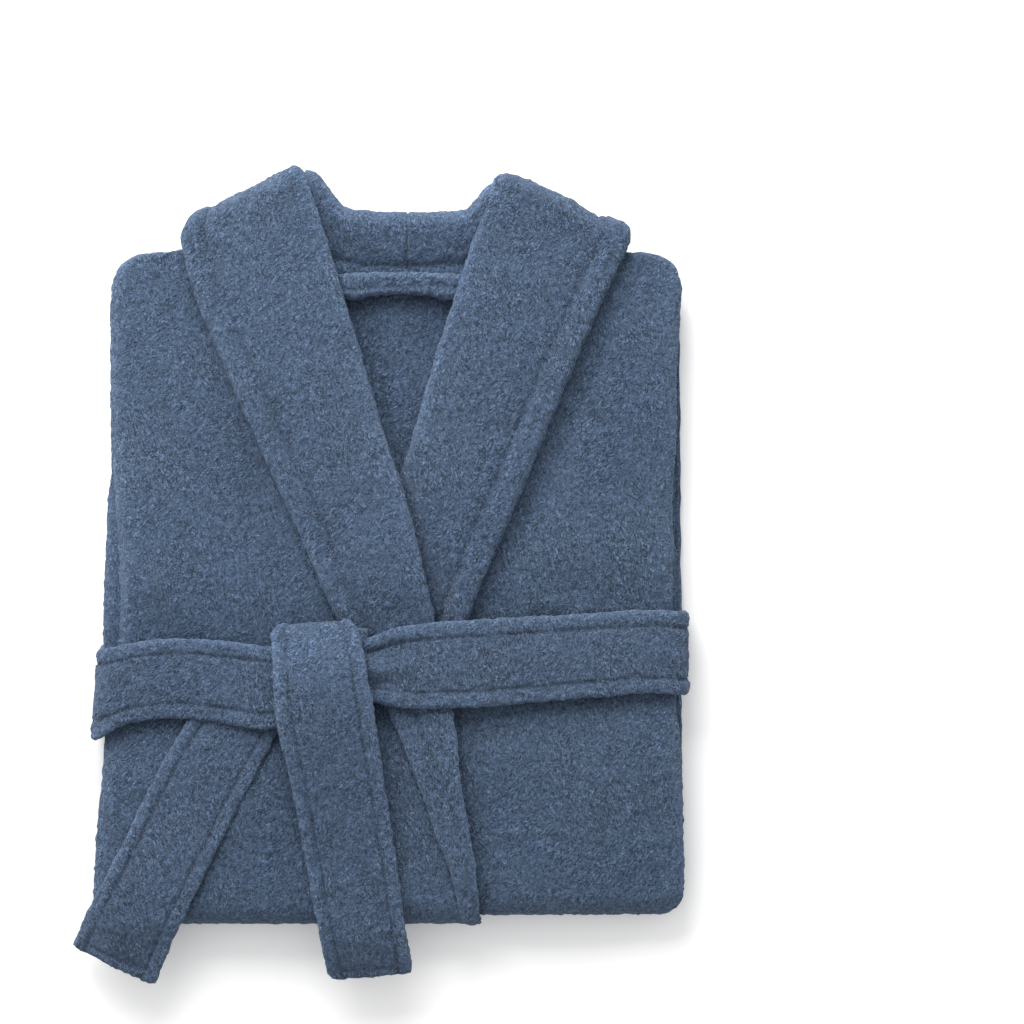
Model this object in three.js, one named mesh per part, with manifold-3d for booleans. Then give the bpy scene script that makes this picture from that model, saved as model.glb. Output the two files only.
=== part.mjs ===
// A fleece bathrobe, folded flat with its front up and tied shut with its own belt. Millimetres.
// +X is to the right, +Y is towards the collar, +Z is up from the surface that the robe lies on.
// From the top down the layers are: left collar, left front, right collar, right front, back,
// both sleeves folded behind the back, then the skirt turned under: back, right front, left front.
import * as THREE from "three";
import { mergeVertices } from "three/addons/utils/BufferGeometryUtils.js";
import Module from "manifold-3d";

const wasm = await Module();
wasm.setup();

// Thicknesses and clearances
const GAP = 0.3; // air between two pieces that lie on each other
const CLOTH = 3.2; // one ply of fleece
const COLLAR = 7; // collar, two plies and the roll between them
const SLEEVE = 9; // flattened sleeve, two plies
const BELT = 4.2; // belt, two plies stitched
const KNOT_HEIGHT = 13.5;
const LOOP_THICKNESS = 3.2;

// Folded body, seen from above
const CENTRE_X = 10; // middle of the body
const BODY_WIDTH = 400; // at the shoulders
const SHOULDER_Y = 228;
const BODY_LENGTH = 474; // shoulder to the fold of the skirt
const HEM_Y = 200; // where the turned-under skirt ends
const SKIRT_FLARE = 9; // how far the skirt spreads past the shoulder on each side
const FRONT_INSET = 8; // the left front stops this far inside the back's edge below the armhole
const ARMHOLE_Y = 80;
const CORNER = 18; // radius of the body's corners
const WRAP = 130; // how far the right front runs under the left front

// Collar
const NECK_SEAM_Y = 218;
const NECK_TOP_Y = 253;
const CENTRE_SEAM_X = 18;
const LEFT_ROLL = [[-50, 268], [37, -32]]; // roll line of the left lapel, top and bottom
const RIGHT_ROLL = [[76, 266], [17, 85]];
const LEFT_LAPEL_FOOT = 0.79; // share of the roll line where the left lapel stops lifting
const LAPEL_REACH = 90; // lapel width at the top, square to the roll line
const LEFT_TAPER = 0.22; // share of that width lost at the foot of the roll line
const RIGHT_TAPER = 0.06;
const LEFT_PEAK = [-59, 288];
const RIGHT_PEAK = [93, 281];

// Hanging loop
const LOOP_LENGTH = 78;
const LOOP_WIDTH = 18;
const LOOP_DROP = 8; // below the neck seam

// Sleeves
const SLEEVE_SIDE_ROOM = 6; // from the body's side to the folded sleeve
const SLEEVE_SPACING = 24; // between the two sleeves
const SLEEVE_TOP_Y = 205;
const CUFF_LENGTH = 68;
const CUFF_SHARE = 0.85; // of the sleeve's width, at the cuff
const SLEEVE_END_MARGIN = 24; // from the skirt's fold to the cuff

// Belt
const BELT_WIDTH = 60;
const BELT_LEFT_Y = -79; // height of the belt's middle at the left side
const BELT_RIGHT_Y = -56;
const BELT_SIDE_ROOM = 4; // from the body's widest place to the middle of the belt's cloth
const BELT_TURN = 8; // radius where the belt turns over the side
const KNOT_X = -46;
const KNOT_WIDTH = 76;
const KNOT_LENGTH = 64;
const FRONT_TAIL_END = [-9, -281];
const LEFT_TAIL_START_X = -106;
const LEFT_TAIL_END = [-188, -270];
const TAIL_DROOP = 8; // how far a tail's end hangs below the robe's top

// Levels: the underside of each layer
const PLY = CLOTH + GAP;
const LIFT = PLY; // the skirt rises this much over the belt's back run
const Z_SLEEVE = 3 * PLY + LIFT;
const Z_BACK = Z_SLEEVE + SLEEVE + GAP;
const Z_RIGHT = Z_BACK + PLY;
const Z_RIGHT_COLLAR = Z_RIGHT + PLY;
const Z_LEFT = Z_RIGHT_COLLAR + COLLAR + GAP;
const Z_LEFT_COLLAR = Z_LEFT + PLY;
const Z_BELT = Z_LEFT_COLLAR + COLLAR + GAP;
const Z_KNOT_TOP = Z_BELT + KNOT_HEIGHT;

const LEFT_X = CENTRE_X - BODY_WIDTH / 2;
const RIGHT_X = CENTRE_X + BODY_WIDTH / 2;
const FOLD_Y = SHOULDER_Y - BODY_LENGTH;
const TALL = 400; // longer and higher than the robe, for shapes that only trim

const fleece = (name, colour) =>
  new THREE.MeshStandardMaterial({ name, color: colour, roughness: 0.95, metalness: 0 });
const OUTER = fleece("fleece_outer", 0x56688a);
const COLLAR_CLOTH = fleece("fleece_collar", 0x5d7192);
const INNER = fleece("fleece_inner", 0x4a5f7e);
const BELT_CLOTH = fleece("fleece_belt", 0x64789a);

// ---- geometry helpers ----

const lerp = (a, b, t) => a.map((value, i) => value + (b[i] - value) * t);
const length = ([x, y]) => Math.hypot(x, y);
const unit = (a, b) => lerp([0, 0], [b[0] - a[0], b[1] - a[1]], 1 / length([b[0] - a[0], b[1] - a[1]]));
const step = (p, direction, distance) => [p[0] + direction[0] * distance, p[1] + direction[1] * distance];

// A closed outline with each corner rounded by the radius given as the point's third number.
function outline(points) {
  const path = new THREE.Shape();
  points.forEach(([x, y, radius = 0], i) => {
    const corner = [x, y];
    const before = points.at(i - 1);
    const after = points[(i + 1) % points.length];
    const enter = step(corner, unit(corner, before), radius);
    const leave = step(corner, unit(corner, after), radius);
    if (i === 0) path.moveTo(...enter);
    else path.lineTo(...enter);
    if (radius > 0) path.quadraticCurveTo(x, y, ...leave);
  });
  path.closePath();
  return path;
}

// The points of an open line whose corners are rounded.
function route(points, radius) {
  const path = new THREE.Path();
  path.moveTo(...points[0]);
  points.slice(1, -1).forEach((corner, i) => {
    path.lineTo(...step(corner, unit(corner, points[i]), radius));
    path.quadraticCurveTo(...corner, ...step(corner, unit(corner, points[i + 2]), radius));
  });
  path.lineTo(...points.at(-1));
  return path.getPoints(5).map((p) => [p.x, p.y]);
}

// A band of even thickness along an open line.
function band(line, thickness) {
  const side = (sign) =>
    line.map((p, i) => {
      const back = unit(line[Math.max(i - 1, 0)], line[Math.max(i - 1, 0) + 1]);
      const on = unit(line[Math.min(i, line.length - 2)], line[Math.min(i, line.length - 2) + 1]);
      const miter = [-(back[1] + on[1]), back[0] + on[0]];
      const square = [-on[1], on[0]];
      const stretch = 1 / (miter[0] * square[0] + miter[1] * square[1]);
      return step(p, miter, (sign * stretch * thickness) / 2);
    });
  return outline([...side(1), ...side(-1).reverse()]);
}

function solid(geometry) {
  const plain = geometry.index ? geometry.toNonIndexed() : geometry;
  plain.deleteAttribute("normal");
  plain.deleteAttribute("uv");
  const merged = mergeVertices(plain, 1e-4);
  const mesh = new wasm.Mesh({
    numProp: 3,
    vertProperties: merged.attributes.position.array,
    triVerts: new Uint32Array(merged.index.array),
  });
  return new wasm.Manifold(mesh);
}

function prism(shape, low, high) {
  const geometry = new THREE.ExtrudeGeometry(shape, {
    depth: high - low,
    bevelEnabled: false,
    curveSegments: 5,
  });
  return solid(geometry.translate(0, 0, low));
}

const alongX = new THREE.Matrix4().makeBasis(
  new THREE.Vector3(0, 1, 0), new THREE.Vector3(0, 0, 1), new THREE.Vector3(1, 0, 0));
const alongY = new THREE.Matrix4().makeBasis(
  new THREE.Vector3(1, 0, 0), new THREE.Vector3(0, 0, 1), new THREE.Vector3(0, -1, 0));

// Cloth that follows a side profile and is trimmed by an outline seen from above.
function draped(shape, profile, thickness, basis) {
  const options = { depth: 2 * TALL, bevelEnabled: false, curveSegments: 5 };
  const sheet = new THREE.ExtrudeGeometry(band(profile, thickness), options);
  sheet.translate(0, 0, -TALL).applyMatrix4(basis);
  return prism(shape, -TALL, TALL).intersect(solid(sheet));
}

const robe = new THREE.Group();

function add(name, body, material) {
  const { vertProperties, triVerts } = body.getMesh();
  const geometry = new THREE.BufferGeometry();
  geometry.setAttribute("position", new THREE.BufferAttribute(new Float32Array(vertProperties), 3));
  geometry.setIndex(new THREE.BufferAttribute(new Uint32Array(triVerts), 1));
  geometry.computeVertexNormals();
  const mesh = new THREE.Mesh(geometry, material);
  mesh.name = name;
  robe.add(mesh);
}

// ---- body panels: an upper part, and the skirt turned under at the fold ----

const beltMiddle = (x) => {
  const share = (x - LEFT_X) / (RIGHT_X - LEFT_X);
  return BELT_LEFT_Y + (BELT_RIGHT_Y - BELT_LEFT_Y) * share;
};
const BACK_RUN_ROOM = 6;
const NOTCH_LOW_Y = BELT_LEFT_Y - BELT_WIDTH / 2 - BACK_RUN_ROOM;
const NOTCH_HIGH_Y = BELT_RIGHT_Y + BELT_WIDTH / 2 + BACK_RUN_ROOM;
const RAMP = 6 * LIFT; // long enough for the stacked plies to stay clear of each other on the slope
const TURN_RADIUS = 2 * PLY + 1.25 * CLOTH; // of the outermost panel at the skirt's fold

function panel(name, { upperShape, skirtShape, upperZ, skirtZ, inset, material }) {
  const low = skirtZ + CLOTH / 2;
  const high = upperZ + CLOTH / 2;
  const foldY = FOLD_Y + inset + CLOTH / 2;
  const overlap = 4;
  const skirtStart = foldY + CORNER;
  const skirt = [
    [skirtStart - overlap, low],
    [NOTCH_LOW_Y - RAMP, low],
    [NOTCH_LOW_Y, low + LIFT],
    [NOTCH_HIGH_Y, low + LIFT],
    [NOTCH_HIGH_Y + RAMP, low],
    [HEM_Y, low],
  ];
  const turn = route([[skirtStart, low], [foldY, low], [foldY, high], [TALL, high]], TURN_RADIUS - inset);
  const upper = draped(upperShape, turn, CLOTH, alongX);
  add(name, upper.add(draped(skirtShape, skirt, CLOTH, alongX)), material);
}

const rollX = (roll, y) => lerp(roll[0], roll[1], (y - roll[0][1]) / (roll[1][1] - roll[0][1]))[0];
const BELOW = FOLD_Y - 20; // past the fold, which trims the panel itself
const skirtLeft = LEFT_X - SKIRT_FLARE;
const skirtRight = RIGHT_X + SKIRT_FLARE / 3;
const FRONT_EDGE = [[50, BELT_RIGHT_Y - 40], [69, FOLD_Y + 8]]; // left front's free edge below the belt

const shoulderLeft = [
  [LEFT_X + 50, SHOULDER_Y],
  [LEFT_X, SHOULDER_Y - 5, 24],
  [LEFT_X, ARMHOLE_Y + 10],
];
const shoulderRight = [
  [RIGHT_X, ARMHOLE_Y],
  [RIGHT_X, SHOULDER_Y - 2, 24],
  [RIGHT_X - 40, SHOULDER_Y],
];

function back() {
  panel("back_panel", {
    upperShape: outline([
      ...shoulderLeft,
      [skirtLeft + 5, BELT_LEFT_Y],
      [skirtLeft, BELOW],
      [skirtRight, BELOW],
      [RIGHT_X - 5, 20],
      ...shoulderRight,
    ]),
    skirtShape: outline([[skirtLeft, BELOW], [skirtRight, BELOW], [RIGHT_X, HEM_Y], [LEFT_X, HEM_Y]]),
    upperZ: Z_BACK, skirtZ: 2 * PLY, inset: 2 * PLY, material: INNER,
  });
}

function rightFront() {
  const innerTop = rollX(RIGHT_ROLL, SHOULDER_Y + 14);
  const edgeAtBelt = rollX(RIGHT_ROLL, BELT_RIGHT_Y);
  panel("front_panel_right", {
    upperShape: outline([
      [edgeAtBelt, BELT_RIGHT_Y],
      [FRONT_EDGE[1][0] - WRAP, BELOW],
      [skirtRight, BELOW],
      [skirtRight, FOLD_Y + PLY + 6, 10],
      [RIGHT_X - 5, 20],
      ...shoulderRight,
      [innerTop, SHOULDER_Y + 14],
    ]),
    skirtShape: outline([
      [FRONT_EDGE[1][0] - WRAP, BELOW], [skirtRight, BELOW],
      [RIGHT_X, HEM_Y], [FRONT_EDGE[1][0] - WRAP, HEM_Y],
    ]),
    upperZ: Z_RIGHT, skirtZ: PLY, inset: PLY, material: OUTER,
  });
}

function leftFront() {
  const innerTop = rollX(LEFT_ROLL, SHOULDER_Y + 14);
  panel("front_panel_left", {
    upperShape: outline([
      [innerTop, SHOULDER_Y + 14],
      ...shoulderLeft,
      [LEFT_X + FRONT_INSET, ARMHOLE_Y - 10],
      [LEFT_X + FRONT_INSET, BELT_LEFT_Y + BELT_WIDTH / 2],
      [skirtLeft, FOLD_Y + 35],
      [skirtLeft, BELOW],
      [FRONT_EDGE[1][0], BELOW],
      FRONT_EDGE[1],
      FRONT_EDGE[0],
      LEFT_ROLL[1],
    ]),
    skirtShape: outline([
      [skirtLeft, BELOW], [FRONT_EDGE[1][0], BELOW], [FRONT_EDGE[1][0], HEM_Y], [LEFT_X, HEM_Y],
    ]),
    upperZ: Z_LEFT, skirtZ: 0, inset: 0, material: OUTER,
  });
}

// ---- sleeves, side by side between the back and the turned-under skirt ----

function sleeves() {
  const cuffEnd = FOLD_Y + SLEEVE_END_MARGIN;
  const cuffStart = cuffEnd + CUFF_LENGTH;
  for (const [side, sign] of [["left", -1], ["right", 1]]) {
    const outer = CENTRE_X + sign * (BODY_WIDTH / 2 - SLEEVE_SIDE_ROOM);
    const inner = CENTRE_X + (sign * SLEEVE_SPACING) / 2;
    const cuffInner = outer + (inner - outer) * CUFF_SHARE;
    const sleeve = outline([
      [outer, SLEEVE_TOP_Y, 20], [inner, SLEEVE_TOP_Y, 40],
      [cuffInner, cuffStart + GAP], [outer, cuffStart + GAP],
    ]);
    const cuff = outline([[outer, cuffStart], [cuffInner, cuffStart], [cuffInner, cuffEnd, 4], [outer, cuffEnd, 4]]);
    add(`sleeve_${side}`, prism(sleeve, Z_SLEEVE, Z_SLEEVE + SLEEVE), INNER);
    add(`cuff_${side}`, prism(cuff, Z_SLEEVE, Z_SLEEVE + SLEEVE), COLLAR_CLOTH);
  }
}

// ---- shawl collar: on each side a lapel that lifts about the roll line, and the part below it ----

function collarSide({ side, roll, foot, taper, peak, sign, z, lower }) {
  const down = unit(...roll);
  const outward = [sign * Math.abs(down[1]), -Math.abs(down[0])];
  const [top] = roll;
  const footPoint = lerp(...roll, foot);
  const reachAt = (share) => step(lerp(...roll, share), outward, LAPEL_REACH * (1 - taper * share));
  const lapel = outline([
    top,
    [...peak, 8],
    [...step(reachAt(0), [0, 1], 3), 16],
    reachAt(foot / 2),
    reachAt(foot),
    footPoint,
  ]);
  add(`collar_${side}_lapel`, prism(lapel, z, z + COLLAR), COLLAR_CLOTH);
  const rest = outline([step(footPoint, down, GAP), step(reachAt(foot), down, GAP), ...lower]);
  add(`collar_${side}_lower`, prism(rest, z, z + COLLAR), COLLAR_CLOTH);
}

function collar() {
  collarSide({
    side: "left", roll: LEFT_ROLL, foot: LEFT_LAPEL_FOOT, taper: LEFT_TAPER, peak: LEFT_PEAK,
    sign: -1, z: Z_LEFT_COLLAR,
    lower: [
      [4, BELT_RIGHT_Y - 41],
      [FRONT_EDGE[1][0] - 18, FOLD_Y + 14, 6],
      [FRONT_EDGE[1][0], FOLD_Y + 12, 6],
      FRONT_EDGE[0],
      LEFT_ROLL[1],
    ],
  });
  const edgeAtBelt = rollX(RIGHT_ROLL, BELT_RIGHT_Y);
  collarSide({
    side: "right", roll: RIGHT_ROLL, foot: 1, taper: RIGHT_TAPER, peak: RIGHT_PEAK,
    sign: 1, z: Z_RIGHT_COLLAR,
    lower: [
      [edgeAtBelt + 87, BELT_RIGHT_Y + 20],
      [FRONT_EDGE[1][0] - WRAP + 50, FOLD_Y + 30],
      [FRONT_EDGE[1][0] - WRAP + 22, FOLD_Y + 30],
      [edgeAtBelt, BELT_RIGHT_Y],
    ],
  });
  const bandTop = NECK_TOP_Y;
  const leftBand = outline([
    [CENTRE_SEAM_X - GAP / 2, NECK_SEAM_Y],
    [CENTRE_SEAM_X - GAP / 2, bandTop],
    [rollX(LEFT_ROLL, bandTop) - 8, bandTop + 4],
    [rollX(LEFT_ROLL, NECK_SEAM_Y) - 8, NECK_SEAM_Y],
  ]);
  const rightBand = outline([
    [CENTRE_SEAM_X + GAP / 2, NECK_SEAM_Y],
    [rollX(RIGHT_ROLL, NECK_SEAM_Y) - 1, NECK_SEAM_Y],
    [rollX(RIGHT_ROLL, bandTop) - 1, bandTop + 4],
    [CENTRE_SEAM_X + GAP / 2, bandTop],
  ]);
  add("neck_band_left", prism(leftBand, Z_RIGHT, Z_RIGHT + COLLAR), COLLAR_CLOTH);
  add("neck_band_right", prism(rightBand, Z_RIGHT, Z_RIGHT + COLLAR), COLLAR_CLOTH);
}

function hangingLoop() {
  const top = NECK_SEAM_Y - LOOP_DROP;
  const right = rollX(RIGHT_ROLL, top - LOOP_WIDTH) - 3;
  const strap = outline([
    [right, top, 3], [right, top - LOOP_WIDTH, 3],
    [right - LOOP_LENGTH, top - LOOP_WIDTH, 3], [right - LOOP_LENGTH, top, 3],
  ]);
  add("hanging_loop", prism(strap, Z_RIGHT, Z_RIGHT + LOOP_THICKNESS), BELT_CLOTH);
}

// ---- belt: one strip round the robe, tied in a knot, in the stretches that it lies in ----

function belt() {
  const half = BELT_WIDTH / 2;
  const leftOut = skirtLeft - BELT_SIDE_ROOM - 1.5;
  const rightOut = RIGHT_X + BELT_SIDE_ROOM;
  const strip = (from, to) =>
    outline([
      [from, beltMiddle(from) - half], [to, beltMiddle(to) - half],
      [to, beltMiddle(to) + half], [from, beltMiddle(from) + half],
    ]);
  const backLine = route([
    [leftOut + BELT_TURN + 2, Z_BELT + BELT / 2],
    [leftOut, Z_BELT + BELT / 2],
    [leftOut, CLOTH / 2],
    [rightOut, CLOTH / 2],
    [rightOut, Z_BELT + BELT / 2],
    [rightOut - BELT_TURN - 2, Z_BELT + BELT / 2],
  ], BELT_TURN);
  const wide = strip(leftOut - 20, rightOut + 20);
  add("belt_back_run", draped(wide, backLine, CLOTH, alongY), BELT_CLOTH);

  const knotLeft = KNOT_X - KNOT_WIDTH / 2;
  const knotRight = KNOT_X + KNOT_WIDTH / 2;
  const runStart = leftOut + BELT_TURN + 2 + GAP;
  const runEnd = rightOut - BELT_TURN - 2 - GAP;
  add("belt_run_left", prism(strip(runStart, knotLeft - GAP), Z_BELT, Z_BELT + BELT), BELT_CLOTH);
  add("belt_run_right", prism(strip(knotRight + GAP, runEnd), Z_BELT, Z_BELT + BELT), BELT_CLOTH);

  const knotY = beltMiddle(KNOT_X);
  const knot = outline([
    [knotLeft, knotY - KNOT_LENGTH / 2, 8], [knotRight, knotY - KNOT_LENGTH / 2, 8],
    [knotRight, knotY + KNOT_LENGTH / 2, 8], [knotLeft, knotY + KNOT_LENGTH / 2, 8],
  ]);
  add("belt_knot", prism(knot, Z_BELT, Z_KNOT_TOP), BELT_CLOTH);

  // The front tail comes over the top of the knot, falls to the robe and runs past its bottom fold.
  const onKnot = Z_KNOT_TOP + GAP + CLOTH / 2;
  const onRobe = Z_LEFT_COLLAR + CLOTH / 2;
  const knotTopY = knotY + KNOT_LENGTH / 2;
  const knotBottomY = knotY - KNOT_LENGTH / 2;
  const frontTail = [
    [TALL, onKnot],
    [knotBottomY - 4, onKnot],
    [knotBottomY - 40, onRobe + 1],
    [FOLD_Y, onRobe + 1],
    [FOLD_Y - 60, onRobe + 1 - TAIL_DROOP],
  ];
  add("belt_tail_front", draped(tailShape([KNOT_X, knotTopY], FRONT_TAIL_END), frontTail, CLOTH, alongX), BELT_CLOTH);

  // The other tail comes out under the left run and lies on the left front.
  const runBottomY = beltMiddle(LEFT_TAIL_START_X) - half;
  const leftTail = [[TALL, onRobe], [FOLD_Y, onRobe], [FOLD_Y - 60, onRobe - TAIL_DROOP]];
  const free = [[-TALL, runBottomY - 5], [TALL, runBottomY - 5], [TALL, -TALL], [-TALL, -TALL]];
  const tail = draped(tailShape([LEFT_TAIL_START_X, runBottomY + 20], LEFT_TAIL_END), leftTail, CLOTH, alongX);
  add("belt_tail_left", tail.intersect(prism(outline(free), -TALL, TALL)), BELT_CLOTH);
}

// A tail seen from above: a strip of the belt's width with square corners at its end.
function tailShape(start, end) {
  const along = unit(start, end);
  const square = [-along[1], along[0]];
  const half = BELT_WIDTH / 2;
  return outline([
    step(start, square, half), step(start, square, -half),
    [...step(end, square, -half), 4], [...step(end, square, half), 4],
  ]);
}

back();
rightFront();
leftFront();
sleeves();
collar();
hangingLoop();
belt();

// The origin is the middle of the robe's footprint, on the surface that it lies on.
const extent = new THREE.Box3().setFromObject(robe);
const middle = extent.getCenter(new THREE.Vector3());
robe.position.set(-middle.x, -middle.y, -extent.min.z);

export default robe;
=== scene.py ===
"""A fleece bathrobe, folded flat and tied with its own belt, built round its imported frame."""

import bmesh
import bpy
import numpy as np
from bpy.props import FloatProperty, FloatVectorProperty, PointerProperty
from mathutils import Matrix, Vector


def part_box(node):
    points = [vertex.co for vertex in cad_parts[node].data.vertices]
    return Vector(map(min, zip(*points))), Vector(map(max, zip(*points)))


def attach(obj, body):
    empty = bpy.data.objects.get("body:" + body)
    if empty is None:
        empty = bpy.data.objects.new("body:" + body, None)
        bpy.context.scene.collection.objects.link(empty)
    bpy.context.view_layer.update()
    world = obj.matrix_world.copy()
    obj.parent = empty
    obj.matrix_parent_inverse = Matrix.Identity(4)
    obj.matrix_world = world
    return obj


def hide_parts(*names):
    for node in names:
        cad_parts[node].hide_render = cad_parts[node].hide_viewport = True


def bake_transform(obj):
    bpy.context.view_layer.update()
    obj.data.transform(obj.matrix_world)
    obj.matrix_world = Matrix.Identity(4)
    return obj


bl_info = {
    "name": "Folded bathrobe",
    "version": (1, 0, 0),
    "blender": (4, 5, 0),
    "location": "View3D > Sidebar > Bathrobe",
    "description": "Makes a folded fleece bathrobe, tied with its belt, piece by piece",
    "category": "Add Mesh",
}

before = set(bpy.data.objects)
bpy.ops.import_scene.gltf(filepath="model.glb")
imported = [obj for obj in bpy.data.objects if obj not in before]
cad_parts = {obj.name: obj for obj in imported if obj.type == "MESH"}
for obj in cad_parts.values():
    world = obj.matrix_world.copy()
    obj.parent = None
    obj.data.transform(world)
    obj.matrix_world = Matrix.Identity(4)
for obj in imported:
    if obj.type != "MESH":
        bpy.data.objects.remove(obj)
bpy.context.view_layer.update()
MM = 0.001


def cad(node, corner, axis):
    """One side of a CAD node's box, in millimetres: corner 0 is the lowest, 1 the highest."""
    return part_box(node)[corner]["XYZ".index(axis)] / MM


# Places that come from the frame, in millimetres.
FOLD_Y = cad("front_panel_left", 0, "Y")
HEM_Y = cad("front_panel_left", 1, "Y") - 42
BACK_Z = (cad("back_panel", 0, "Z") + cad("back_panel", 1, "Z")) / 2 + 9.7
LEFT_MID_Z = cad("front_panel_left", 1, "Z") - 2.8
RIGHT_MID_Z = cad("front_panel_right", 1, "Z") + 3.5
BELT_OUT_X = (cad("belt_back_run", 0, "X"), cad("belt_back_run", 1, "X"))
KNOT_TOP_Z = cad("belt_knot", 1, "Z")

# Sizes of the pieces, in millimetres.
COLLAR_WIDTH = 90
BAND_HEIGHT = 42  # of the collar behind the neck
LOOP_WIDTH = 20  # of the hanging loop, before it is tucked
BELT_WIDTH = 60
BELT_TURN = 9.0  # radius of the belt's bend over the robe's sides
FLOOR_TURN = 6  # radius of its bend under the robe
CORNER_RADIUS = 19  # of the robe's corners at the fold
SKIRT_HEM = 26  # from the skirt's edge to its stitching
PANEL_SHOULDER_Y = 230
FLOOR_CLEAR = 1.5  # keeps the pile of the belt's lower run off the floor
LEFT_SKIRT_Z, RIGHT_SKIRT_Z, BACK_SKIRT_Z = 2.3, 6.2, 10.1  # heights of the turned-under plies
BACK_INSET = 9.5  # the back is folded this much higher than the left front

# The studio, in metres.
TABLE_HALF = 6
TABLE_WHITE = 0.97
TABLE_GLOW = 0.11  # keeps the shadows on the table light
SKY_FROM = (-0.36, 0.80, 0.48)
SKY_SLOPE, SKY_BASE = 0.50, 0.82
LIGHT_PLACE = (-0.30, 1.12, 0.86)
LIGHT_POWER = 27.5
LIGHT_SIZE = 0.95
LENS, SENSOR = 100, 36
VIEW_CENTRE = (0.0905, 0.0430)
VIEW_WIDTH = 0.7168
VIEW_HEIGHT = 0.040  # height at which the view is that wide


class RobeSizes(bpy.types.PropertyGroup):
    """Sizes of the cloth"""

    ply: FloatProperty(
        name="Ply", description="Thickness of one ply of fleece", default=0.0036, unit="LENGTH")
    collar: FloatProperty(
        name="Collar", description="Thickness of the turned collar", default=0.0102, unit="LENGTH")
    belt: FloatProperty(
        name="Belt", description="Thickness of the stitched belt", default=0.0052, unit="LENGTH")
    hem: FloatProperty(
        name="Hem", description="From the collar's edge to its stitching", default=0.0175, unit="LENGTH")
    belt_hem: FloatProperty(
        name="Belt hem", description="From the belt's edge to its stitching", default=0.0115,
        unit="LENGTH")
    pile: FloatProperty(
        name="Pile", description="How far the pile stands proud", default=0.0011, unit="LENGTH")


class RobeColours(bpy.types.PropertyGroup):
    """Colours of the cloth"""

    outer: FloatVectorProperty(
        name="Outer", description="Fleece of the body", subtype="COLOR", size=3,
        default=(0.0700, 0.1080, 0.1740))
    collar: FloatVectorProperty(
        name="Collar", description="Fleece of the collar", subtype="COLOR", size=3,
        default=(0.0685, 0.1055, 0.1710))
    inner: FloatVectorProperty(
        name="Inner", description="Inner side of the fleece", subtype="COLOR", size=3,
        default=(0.0630, 0.0980, 0.1615))
    belt: FloatVectorProperty(
        name="Belt", description="Fleece of the belt and the loop", subtype="COLOR", size=3,
        default=(0.0730, 0.1110, 0.1790))


# ---- smooth lines and surfaces, in millimetres ----


def profile(at, table):
    """A smooth value at each place, through the table's (place, value) rows."""
    place, value = np.array(table, float).T
    slope = np.gradient(value, place)
    at = np.clip(at, place[0], place[-1])
    i = np.clip(np.searchsorted(place, at, side="right") - 1, 0, len(place) - 2)
    gap = place[i + 1] - place[i]
    f = (at - place[i]) / gap
    return (
        (2 * f**3 - 3 * f**2 + 1) * value[i]
        + (f**3 - 2 * f**2 + f) * gap * slope[i]
        + (3 * f**2 - 2 * f**3) * value[i + 1]
        + (f**3 - f**2) * gap * slope[i + 1]
    )


def walk(points):
    """Distance walked along points, up to each of them."""
    steps = np.linalg.norm(np.diff(np.array(points, float), axis=0), axis=1)
    return np.concatenate([[0], np.cumsum(steps)])


def shares(*lines):
    """How far along each of the lines' points lies, as a share, on average over the lines."""
    total = 0
    for points in lines:
        walked = walk(points)
        total = total + walked / walked[-1]
    return total / len(lines)


def line(points, t, share):
    """Points of a smooth line through the given ones, which lie at the given shares of the way."""
    return np.stack(
        [profile(t, np.stack([share, [p[k] for p in points]], axis=1)) for k in (0, 1)], axis=-1)


def ease(t):
    """From 0 to 1, smoothly."""
    t = np.clip(t, 0, 1)
    return t * t * (3 - 2 * t)


def rounded(distance, radius):
    """The height of a round edge, from 0 at the edge to 1 at its radius."""
    return np.sqrt(np.clip(1 - (1 - np.clip(distance / radius, 0, 1)) ** 2, 0, 1))


def ridge(distance, centre, width):
    """A smooth hump, 1 high at its centre."""
    return np.exp(-(((distance - centre) / width) ** 2))


def stations(length, radius, step, fine=0.0, fine_step=1.2):
    """Distances across a piece: close together at its round edges, then in the fine zone, then apart."""
    turn = radius * (1 - np.cos(np.linspace(0, np.pi / 2, 6)))
    zone = np.arange(radius + fine_step, max(fine, radius), fine_step)
    start = np.concatenate([turn, zone])
    middle = length - 2 * start[-1]
    count = max(2, int(round(middle / step)))
    inner = start[-1] + middle * np.arange(1, count) / count
    return np.concatenate([start, inner, (length - start)[::-1]])


# ---- how the layers lie: heights of the robe's surfaces ----

FRONT_EDGE = [
    (-262, 69.5), (-238, 68.8), (-215, 66), (-188, 62.5), (-154, 56.2), (-125, 51.5), (-95, 47),
    (-60, 41.5), (-32, 36.6), (-12, 33.4), (12.6, 26.8), (41, 19), (69, 11.7), (93, 3), (122, -5.4),
    (160, -16.6), (185, -24.3), (213, -32.4), (239, -40.4), (268, -50), (290, -56),
]
BELT_LINE = [
    (-208, -84), (-196, -81), (-170, -75.5), (-145, -73), (-115, -75), (-80, -79.5), (-45, -76),
    (-8, -67), (27, -64.5), (67, -62.6), (107, -60), (147, -57.2), (204, -55.6), (216, -57),
]


def front_edge(y):
    """Where the left front's free edge lies, and above the belt its roll line."""
    return profile(y, FRONT_EDGE)


def belt_y(x):
    """Where the middle of the belt's front run lies."""
    return profile(x, BELT_LINE)


def pinch(x, y):
    """How far the belt presses the robe down, and how it swells beside the belt."""
    off = np.abs(y - belt_y(x))
    return -5.2 * np.exp(-((off / 34) ** 2)) + 1.8 * np.exp(-(((off - 70) / 26) ** 2))


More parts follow.
